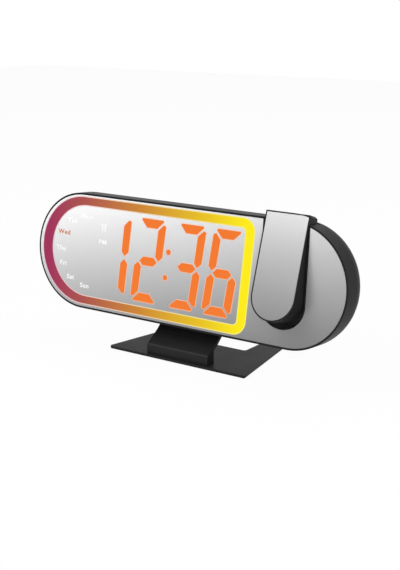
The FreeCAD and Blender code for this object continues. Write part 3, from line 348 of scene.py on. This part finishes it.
def lay(piece, material, body):
    piece.data.materials.clear()
    piece.data.materials.append(material)
    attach(piece, body)
    return piece


def newPiece(name, build, where):
    mesh = bpy.data.meshes.new(name)
    shape = bmesh.new()
    build(shape)
    bmesh.ops.remove_doubles(shape, verts=shape.verts, dist=0.0005)
    bmesh.ops.recalc_face_normals(shape, faces=shape.faces)
    shape.to_mesh(mesh)
    shape.free()
    mesh.transform(where @ Matrix.Scale(mm, 4))
    piece = bpy.data.objects.new(name, mesh)
    bpy.context.scene.collection.objects.link(piece)
    return piece


def addSlab(shape, points, front, back):  # a closed slab over an outline, from front to back in depth
    near = [shape.verts.new((x, front, z)) for x, z in points]
    far = [shape.verts.new((x, back, z)) for x, z in points]
    shape.faces.new(near)
    shape.faces.new(list(reversed(far)))
    count = len(points)
    for index in range(count):
        after = (index + 1) % count
        shape.faces.new((near[index], near[after], far[after], far[index]))


def addBand(shape, outer, inner, front, back):  # the same between two outlines with as many points each
    loops = [[shape.verts.new((x, depth, z)) for x, z in points]
             for points, depth in ((outer, front), (inner, front), (inner, back), (outer, back))]
    count = len(outer)
    for index in range(count):
        after = (index + 1) % count
        for one, two in ((0, 1), (1, 2), (2, 3), (3, 0)):
            shape.faces.new((loops[one][index], loops[one][after], loops[two][after], loops[two][index]))


def arcPoints(centre, radius, fromAngle, toAngle, steps):
    return [(centre[0] + radius * math.cos(math.radians(fromAngle + (toAngle - fromAngle) * step / steps)),
             centre[1] + radius * math.sin(math.radians(fromAngle + (toAngle - fromAngle) * step / steps)))
            for step in range(steps + 1)]


marks = {"proud": 0.1, "sunk": 0.02}  # lit marks stand this far out of the mirror

ring = {
    "outer": {"left": -71.6, "right": 47.3, "radius": 32.3, "corner": 7.5},
    "inner": {"left": -68.85, "right": 42.2, "radius": 27.7, "corner": 3.2},
    "middle": 0.3, "rightLean": 0.058, "halo": 0.55, "haloSunk": 0.04}


def ringOutline(left, right, radius, corner, grow=0.0):
    right, radius, corner = right + grow, radius + grow, corner + grow
    points = (arcPoints((left, 0), radius, 90, 270, 96)
              + arcPoints((right - corner, corner - radius), corner, 270, 360, 24)
              + arcPoints((right - corner, radius - corner), corner, 0, 90, 24))
    return [(x + (z * ring["rightLean"] if x > 0 else 0), z + ring["middle"]) for x, z in points]


def buildRing(shape):
    addBand(shape, ringOutline(**ring["outer"]), ringOutline(**ring["inner"]), -marks["proud"], marks["sunk"])


def buildRingHalo(shape):  # the soft edge of its light on the mirror
    outer = ringOutline(**ring["outer"], grow=ring["halo"])
    inner = ringOutline(**ring["inner"], grow=-ring["halo"])
    addBand(shape, outer, inner, ring["haloSunk"] - marks["proud"], marks["sunk"])


ringGlow = glowing("ringGlow", [
    (0.03, paint(158, 42, 88)), (0.22, paint(170, 80, 72)), (0.5, paint(204, 132, 46)),
    (0.8, paint(232, 194, 24)), (0.97, paint(253, 234, 6))], **alongRing)
ringHaloGlow = glowing("ringHaloGlow", [
    (0.03, paint(228, 192, 206)), (0.3, paint(236, 206, 192)), (0.6, paint(236, 214, 164)),
    (0.97, paint(246, 238, 128))], **alongRing)
lay(newPiece("litRing", buildRing, onFace), ringGlow, "clock")
lay(newPiece("ringHalo", buildRingHalo, onFace), ringHaloGlow, "clock")
print("ring lit")

digits = {
    "time": "1236", "places": (-39.9, -15.2, 12.2, 36.45), "column": 14.4, "half": 22.0, "middle": 0.5,
    "stroke": 5.05, "gap": 0.95, "barDrop": 0.35, "leans": (5.3, 6.2, 7.3, 7.9),
    "colonAt": -8.9, "colonApart": 15.0, "colonLean": 6.6, "dot": 1.6,
    "barBlunt": 1.3, "sideBlunt": 2.3, "bluntGrow": 1.75, "sharp": 60, "halo": 0.42, "haloSunk": 0.04}
segmentsOf = {  # top, upper right, lower right, bottom, lower left, upper left, middle
    "1": (1, 2), "2": (0, 1, 6, 4, 3), "3": (0, 1, 6, 2, 3), "6": (0, 5, 4, 3, 2, 6)}


def bluntTips(points, cut):  # the sharp corners are cut off, as on a moulded segment
    kept = []
    for index, corner in enumerate(points):
        here = Vector(corner)
        before, after = Vector(points[index - 1]) - here, Vector(points[(index + 1) % len(points)]) - here
        if before.angle(after) < math.radians(digits["sharp"]):
            kept += [tuple(here + before.normalized() * cut), tuple(here + after.normalized() * cut)]
        else:
            kept.append(corner)
    return kept


def segmentOutline(index, right, lean, grow):
    left = right - digits["column"]
    half = digits["stroke"] / 2 + grow
    tall = digits["half"]
    gap = digits["gap"] - grow
    if index in (0, 3):
        up = 1 if index == 0 else -1
        points = [(left - half + gap, (tall + half) * up), (right + half - gap, (tall + half) * up),
                  (right - half - gap, (tall - half) * up), (left + half + gap, (tall - half) * up)]
    elif index == 6:
        points = [(left + gap, 0), (left + half + gap, half), (right - half - gap, half), (right - gap, 0),
                  (right - half - gap, -half), (left + half + gap, -half)]
    else:
        up = 1 if index in (1, 5) else -1
        side = 1 if index in (1, 2) else -1
        x = right if side > 0 else left
        out, within = x + half * side, x - half * side
        points = [(out, (tall + half - gap) * up), (out, (half + gap) * up), (x, gap * up),
                  (within, (half + gap) * up), (within, (tall - half - gap) * up)]
    tilt = math.tan(math.radians(lean))
    blunt = digits["barBlunt"] if index in (0, 3) else digits["sideBlunt"]
    return [(x + z * tilt, z + digits["middle"] - digits["barDrop"] * max(0, 1 - abs(z) / tall))
            for x, z in bluntTips(points, blunt + grow * digits["bluntGrow"])]


def buildDigits(shape, grow=0.0):
    front = (digits["haloSunk"] if grow else 0) - marks["proud"]
    for figure, right, lean in zip(digits["time"], digits["places"], digits["leans"]):
        for index in segmentsOf[figure]:
            addSlab(shape, segmentOutline(index, right, lean, grow), front, marks["sunk"])
    for up in (1, -1):
        z = digits["colonApart"] / 2 * up
        x = digits["colonAt"] + z * math.tan(math.radians(digits["colonLean"]))
        addSlab(shape, arcPoints((x, z), digits["dot"] + grow, 0, 345, 23), front, marks["sunk"])


def buildHalo(shape):  # the light that leaks round each digit
    buildDigits(shape, digits["halo"])


digitGlow = glowing("digitGlow", [
    (0.0, paint(244, 122, 43)), (1.0, paint(241, 118, 39))], **upFace)
haloGlow = glowing("haloGlow", [
    (0.0, paint(236, 190, 164)), (1.0, paint(244, 206, 186))], **upFace)
lay(newPiece("litDigits", buildDigits, onFace), digitGlow, "clock")
lay(newPiece("digitHalo", buildHalo, onFace), haloGlow, "clock")
print("digits lit")

labels = {
    "days": (("Mon", -69.2, 21.3), ("Tue", -80.6, 17.5), ("Wed", -87.2, 9.8), ("Thu", -89.5, -0.2),
             ("Fri", -87.6, -9.3), ("Sat", -81.5, -17.2), ("Sun", -70.2, -21.1)),
    "today": "Wed", "sign": ("PM", -56.8, 7.1), "size": 4.0, "wide": 1.14, "apart": 1.08,
    "heavy": 0.05}


def wordPiece(name, words, material):
    parts = []
    for word, x, z in words:
        curve = bpy.data.curves.new(name, "FONT")
        curve.body = word
        curve.size = labels["size"]
        curve.align_x = "CENTER"
        curve.align_y = "CENTER"
        curve.space_character = labels["apart"]
        curve.offset = labels["heavy"]
        curve.extrude = (marks["proud"] + marks["sunk"]) / 2
        curve.resolution_u = 4
        text = bpy.data.objects.new(name, curve)
        bpy.context.scene.collection.objects.link(text)
        mesh = bpy.data.meshes.new_from_object(text)
        bpy.data.objects.remove(text)
        upright = Matrix.Rotation(math.radians(90), 4, "X")
        depth = (marks["sunk"] - marks["proud"]) / 2
        wider = Matrix.Diagonal((labels["wide"], 1, 1, 1))
        mesh.transform(Matrix.Translation((x, depth, z)) @ upright @ wider)
        parts.append(mesh)

    def build(shape):
        for mesh in parts:
            shape.from_mesh(mesh)

    return lay(newPiece(name, build, onFace), material, "clock")


whiteGlow = glowing("labelGlow", [
    (0.0, paint(252, 252, 252)), (1.0, paint(255, 255, 255))], **upFace)
todayGlow = glowing("todayGlow", [
    (0.0, paint(200, 116, 56)), (1.0, paint(206, 122, 62))], **upFace)
otherDays = [day for day in labels["days"] if day[0] != labels["today"]]
wordPiece("litDays", otherDays + [labels["sign"]], whiteGlow)
wordPiece("litToday", [day for day in labels["days"] if day[0] == labels["today"]], todayGlow)

bell = {
    "x": -56.2, "z": 15.7, "face": 1.5, "line": 0.42, "cap": 0.85, "capOut": 1.15, "capUp": 1.75,
    "foot": 0.32, "footOut": 1.25, "footDown": 1.75,
    "hands": ((-0.16, -0.1), (0.6, -0.1), (0.6, 0.2), (0.16, 0.2), (0.16, 0.95), (-0.16, 0.95))}


def buildBell(shape):  # a round alarm clock with two caps, a hand and two feet
    x, z = bell["x"], bell["z"]
    front, back = -marks["proud"], marks["sunk"]
    addBand(shape, arcPoints((x, z), bell["face"], 0, 345, 23),
            arcPoints((x, z), bell["face"] - bell["line"], 0, 345, 23), front, back)
    addSlab(shape, [(x + right, z + up) for right, up in bell["hands"]], front, back)
    for side in (1, -1):
        tilt = 45 if side > 0 else 135
        centre = (x + bell["capOut"] * side, z + bell["capUp"])
        addSlab(shape, arcPoints(centre, bell["cap"], tilt - 90, tilt + 90, 12), front, back)
        foot = (x + bell["footOut"] * side, z - bell["footDown"])
        addSlab(shape, arcPoints(foot, bell["foot"], 0, 330, 11), front, back)


lay(newPiece("litBell", buildBell, onFace), whiteGlow, "clock")
print("labels lit")


# Screws: one tree sets a cross-headed screw on every point that it is given

screws = {
    "sides": 28, "crown": 0.84, "slotWide": 0.24, "slotLong": 1.25, "slotDeep": 0.45, "seed": 4,
    "apart": 0.006, "reach": 0.003, "level": 0.00005}
screwSets = {  # node: body, frame, outward axis in that frame
    "housing_screws": ("clock", onFace, "+y"), "neck_screws": ("clock", onFace, "+y"),
    "door_screw": ("clock", onFace, "+y"), "arm_screws": ("projector_arm", onArm, "+y"),
    "base_screws": ("clock", Matrix.Identity(4), "-z")}


def linkedNode(tree, kind, settings, sockets):
    made = tree.nodes.new(kind)
    for name, value in settings.items():
        setattr(made, name, value)
    for name, value in sockets.items():
        if hasattr(value, "is_output"):
            tree.links.new(value, made.inputs[name])
        else:
            made.inputs[name].default_value = value
    return made


def makeScrewTree():
    tree = bpy.data.node_groups.new("screwTree", "GeometryNodeTree")
    tree.interface.new_socket(name="Points", in_out="INPUT", socket_type="NodeSocketGeometry")
    for name in ("Head Radius", "Head Height", "Shank Radius", "Shank Length"):
        tree.interface.new_socket(name=name, in_out="INPUT", socket_type="NodeSocketFloat")
    tree.interface.new_socket(name="Outward", in_out="INPUT", socket_type="NodeSocketVector")
    tree.interface.new_socket(name="Finish", in_out="INPUT", socket_type="NodeSocketMaterial")
    tree.interface.new_socket(name="Screws", in_out="OUTPUT", socket_type="NodeSocketGeometry")
    given = tree.nodes.new("NodeGroupInput").outputs

    def times(first, second):
        return linkedNode(tree, "ShaderNodeMath", {"operation": "MULTIPLY"}, {0: first, 1: second}).outputs[0]

    def minus(first, second):
        return linkedNode(tree, "ShaderNodeMath", {"operation": "SUBTRACT"}, {0: first, 1: second}).outputs[0]

    def vector(x, y, z):
        return linkedNode(tree, "ShaderNodeCombineXYZ", {}, {0: x, 1: y, 2: z}).outputs[0]

    def moved(geometry, z):
        return linkedNode(tree, "GeometryNodeTransform", {}, {
            "Geometry": geometry, "Translation": vector(0.0, 0.0, z)}).outputs[0]

    head = linkedNode(tree, "GeometryNodeMeshCone", {}, {
        "Vertices": screws["sides"], "Radius Bottom": given["Head Radius"],
        "Radius Top": times(given["Head Radius"], screws["crown"]), "Depth": given["Head Height"]})
    head = moved(head.outputs["Mesh"], times(given["Head Height"], -1.0))
    long = times(given["Head Radius"], screws["slotLong"])
    wide = times(given["Head Radius"], screws["slotWide"])
    deep = times(given["Head Height"], screws["slotDeep"] * 2)
    slots = [linkedNode(tree, "GeometryNodeMeshCube", {}, {"Size": size}).outputs["Mesh"]
             for size in (vector(long, wide, deep), vector(wide, long, deep))]
    recessed = linkedNode(tree, "GeometryNodeMeshBoolean", {"operation": "DIFFERENCE", "solver": "EXACT"}, {
        "Mesh 1": head})
    for slot in slots:
        tree.links.new(slot, recessed.inputs["Mesh 2"])
    shank = linkedNode(tree, "GeometryNodeMeshCylinder", {}, {
        "Vertices": screws["sides"], "Radius": given["Shank Radius"], "Depth": given["Shank Length"]})
    drop = minus(times(given["Shank Length"], -0.5), given["Head Height"])
    whole = tree.nodes.new("GeometryNodeJoinGeometry")
    tree.links.new(recessed.outputs["Mesh"], whole.inputs[0])
    tree.links.new(moved(shank.outputs["Mesh"], drop), whole.inputs[0])
    turn = linkedNode(tree, "FunctionNodeEulerToRotation", {}, {0: given["Outward"]})
    placed = linkedNode(tree, "GeometryNodeInstanceOnPoints", {}, {
        "Points": given["Points"], "Instance": whole.outputs[0], "Rotation": turn.outputs[0]})
    spin = linkedNode(tree, "FunctionNodeRandomValue", {"data_type": "FLOAT"}, {
        2: 0.0, 3: math.pi, "Seed": screws["seed"]})
    spun = linkedNode(tree, "GeometryNodeRotateInstances", {}, {
        "Instances": placed.outputs[0], "Rotation": vector(0.0, 0.0, spin.outputs[1])})
    real = linkedNode(tree, "GeometryNodeRealizeInstances", {}, {"Geometry": spun.outputs[0]})
    coated = linkedNode(tree, "GeometryNodeSetMaterial", {}, {
        "Geometry": real.outputs[0], "Material": given["Finish"]})
    tree.links.new(coated.outputs[0], tree.nodes.new("NodeGroupOutput").inputs[0])
    return tree


def looseBoxes(name, where, flat):  # the box of each of a node's solids, in a frame of its own
    back = where.inverted()
    boxes = []
    for vertex in frame["nodes"][name].data.vertices:
        point = back @ vertex.co
        for low, high, seed in boxes:
            if all(abs(point[axis] - seed[axis]) < screws["apart"] for axis in flat):
                for axis in range(3):
                    low[axis] = min(low[axis], point[axis])
                    high[axis] = max(high[axis], point[axis])
                break
        else:
            boxes.append((point.copy(), point.copy(), point.copy()))
    return boxes


def shankRadius(name, where, flat, middle, level, axis):  # how wide the screw is at its far end
    back = where.inverted()
    widest = 0.0
    for vertex in frame["nodes"][name].data.vertices:
        point = back @ vertex.co
        spread = max(abs(point[flat[0]] - middle[flat[0]]), abs(point[flat[1]] - middle[flat[1]]))
        if spread < screws["reach"] and abs(point[axis] - level) < screws["level"]:
            widest = max(widest, spread)
    return widest


def makeScrews(tree, name, body, where, outward):
    axis = "xyz".index(outward[1])
    sign = 1 if outward[0] == "+" else -1
    flat = [other for other in range(3) if other != axis]
    byLength = {}
    for low, high, _ in looseBoxes(name, where, flat):
        middle = (low + high) / 2
        top = middle.copy()
        top[axis] = high[axis] if sign > 0 else low[axis]
        far = low[axis] if sign > 0 else high[axis]
        length = round(abs(top[axis] - far), 5)
        radius = (high[flat[0]] - low[flat[0]]) / 2
        byLength.setdefault(length, []).append((where @ top, radius, middle, far))
    meshes = []
    for length, found in byLength.items():
        _, radius, middle, far = found[0]
        shank = shankRadius(name, where, flat, middle, far, axis)
        mesh = bpy.data.meshes.new(name)
        mesh.from_pydata([place for place, *_ in found], [], [])
        holder = bpy.data.objects.new(name, mesh)
        bpy.context.scene.collection.objects.link(holder)
        modifier = holder.modifiers.new("screws", "NODES")
        modifier.node_group = tree
        away = Vector((0, 0, 0))
        away[axis] = sign
        tall = screwHeads[name]
        turn = (where.to_3x3() @ away).to_track_quat("Z", "Y").to_euler()
        values = {"Head Radius": radius, "Head Height": tall, "Shank Radius": shank,
                  "Shank Length": length - tall, "Outward": tuple(turn), "Finish": finishes["darkSteel"]}
        for socket in tree.interface.items_tree:
            if socket.name in values:
                modifier[socket.identifier] = values[socket.name]
        seen = holder.evaluated_get(bpy.context.evaluated_depsgraph_get())
        meshes.append(bpy.data.meshes.new_from_object(seen))
        bpy.data.objects.remove(holder)

    def build(shape):
        for mesh in meshes:
            shape.from_mesh(mesh)

    piece = newPiece(name + "Cross", build, Matrix.Scale(1 / mm, 4))
    lay(piece, finishes["darkSteel"], body)
    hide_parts(name)


screwHeads = {  # how tall each kind's head is
    "housing_screws": 0.0015, "neck_screws": 0.0015, "door_screw": 0.0006, "arm_screws": 0.0006,
    "base_screws": 0.0008}
screwTree = makeScrewTree()
for screwNode, (screwBody, screwFrame, screwAxis) in screwSets.items():
    makeScrews(screwTree, screwNode, screwBody, screwFrame, screwAxis)
print("screws set:", len(screwSets), "kinds")


# The room: a white floor that is clear from below, a white surround and soft lamps

room = {"floorSize": 4.0, "floorShade": 0.86, "floorWhite": 0.95, "floorDrop": 0.0003, "around": 0.4}


def makeFloor():
    mesh = bpy.data.meshes.new("floor")
    half, low = room["floorSize"] / 2, -room["floorDrop"]
    mesh.from_pydata([(-half, -half, low), (half, -half, low), (half, half, low), (-half, half, low)], [],
                     [(0, 1, 2, 3)])
    floor = bpy.data.objects.new("floor", mesh)
    bpy.context.scene.collection.objects.link(floor)
    shader = Shader("floorPaper")
    rays = shader.tree.nodes.new("ShaderNodeLightPath")
    seen = Wire(shader, rays.outputs["Is Camera Ray"])
    shiny = Wire(shader, rays.outputs["Is Glossy Ray"])
    shade = room["floorShade"]
    paper = shader.node("ShaderNodeBsdfDiffuse", {}, {"Color": (shade, shade, shade, 1)})
    white = shader.node("ShaderNodeEmission", {}, {"Color": (1, 1, 1, 1), "Strength": 1.0})
    direct = (seen + shiny).clamp() * room["floorWhite"]
    above = shader.node("ShaderNodeMixShader", {}, {0: direct, 1: paper, 2: white})
    fromBelow = shader.node("ShaderNodeNewGeometry", {}, {}, "Backfacing")
    clear = shader.node("ShaderNodeBsdfTransparent", {}, {})
    shader.output(shader.node("ShaderNodeMixShader", {}, {0: fromBelow, 1: above, 2: clear}))
    mesh.materials.append(shader.material)


def makeSurround():
    world = bpy.data.worlds.new("surround")
    bpy.context.scene.world = world
    world.use_nodes = True
    nodes, links = world.node_tree.nodes, world.node_tree.links
    nodes.clear()
    rays = nodes.new("ShaderNodeLightPath")
    both = nodes.new("ShaderNodeMath")
    both.operation = "MAXIMUM"
    links.new(rays.outputs["Is Camera Ray"], both.inputs[0])
    links.new(rays.outputs["Is Glossy Ray"], both.inputs[1])
    strength = nodes.new("ShaderNodeMapRange")
    strength.inputs["To Min"].default_value = room["around"]
    strength.inputs["To Max"].default_value = 1.0
    links.new(both.outputs[0], strength.inputs["Value"])
    white = nodes.new("ShaderNodeBackground")
    links.new(strength.outputs[0], white.inputs["Strength"])
    out = nodes.new("ShaderNodeOutputWorld")
    white.inputs["Color"].default_value = (1, 1, 1, 1)
    links.new(white.outputs[0], out.inputs["Surface"])


lamps = {
    "keyLamp": {"place": (-0.5, -0.9, 1.0), "size": 0.8, "power": 10.0},
    "fillLamp": {"place": (0.62, -1.0, 0.36), "size": 0.8, "power": 4.8},
    "topLamp": {"place": (0.2, 0.4, 1.2), "size": 0.9, "power": 5.0},
}


def makeLamp(name, place, size, power):
    light = bpy.data.lights.new(name, "AREA")
    light.size = size
    light.energy = power
    lamp = bpy.data.objects.new(name, light)
    lamp.location = place
    aim = Vector((0, 0, 0.05)) - Vector(place)
    lamp.rotation_euler = aim.to_track_quat("-Z", "Y").to_euler()
    bpy.context.scene.collection.objects.link(lamp)


view = {"azimuth": 35.3, "elevation": 14.57, "distance": 634.6, "aim": (11.0, 4.8, -9.8), "lens": 70.7}


def makeCamera():
    azimuth, elevation = math.radians(view["azimuth"]), math.radians(view["elevation"])
    away = Vector((math.sin(azimuth) * math.cos(elevation), -math.cos(azimuth) * math.cos(elevation),
                   math.sin(elevation)))
    lens = bpy.data.cameras.new("camera")
    lens.lens = view["lens"]
    lens.sensor_width = 36.0
    lens.clip_start = 0.01
    camera = bpy.data.objects.new("camera", lens)
    camera.location = facePlace + Vector(view["aim"]) * mm + away * view["distance"] * mm
    camera.rotation_euler = (-away).to_track_quat("-Z", "Y").to_euler()
    bpy.context.scene.collection.objects.link(camera)
    bpy.context.scene.camera = camera


makeFloor()
makeSurround()
for lampName, lamp in lamps.items():
    makeLamp(lampName, **lamp)
makeCamera()
bpy.context.scene.view_settings.view_transform = "Standard"
print("room ready")
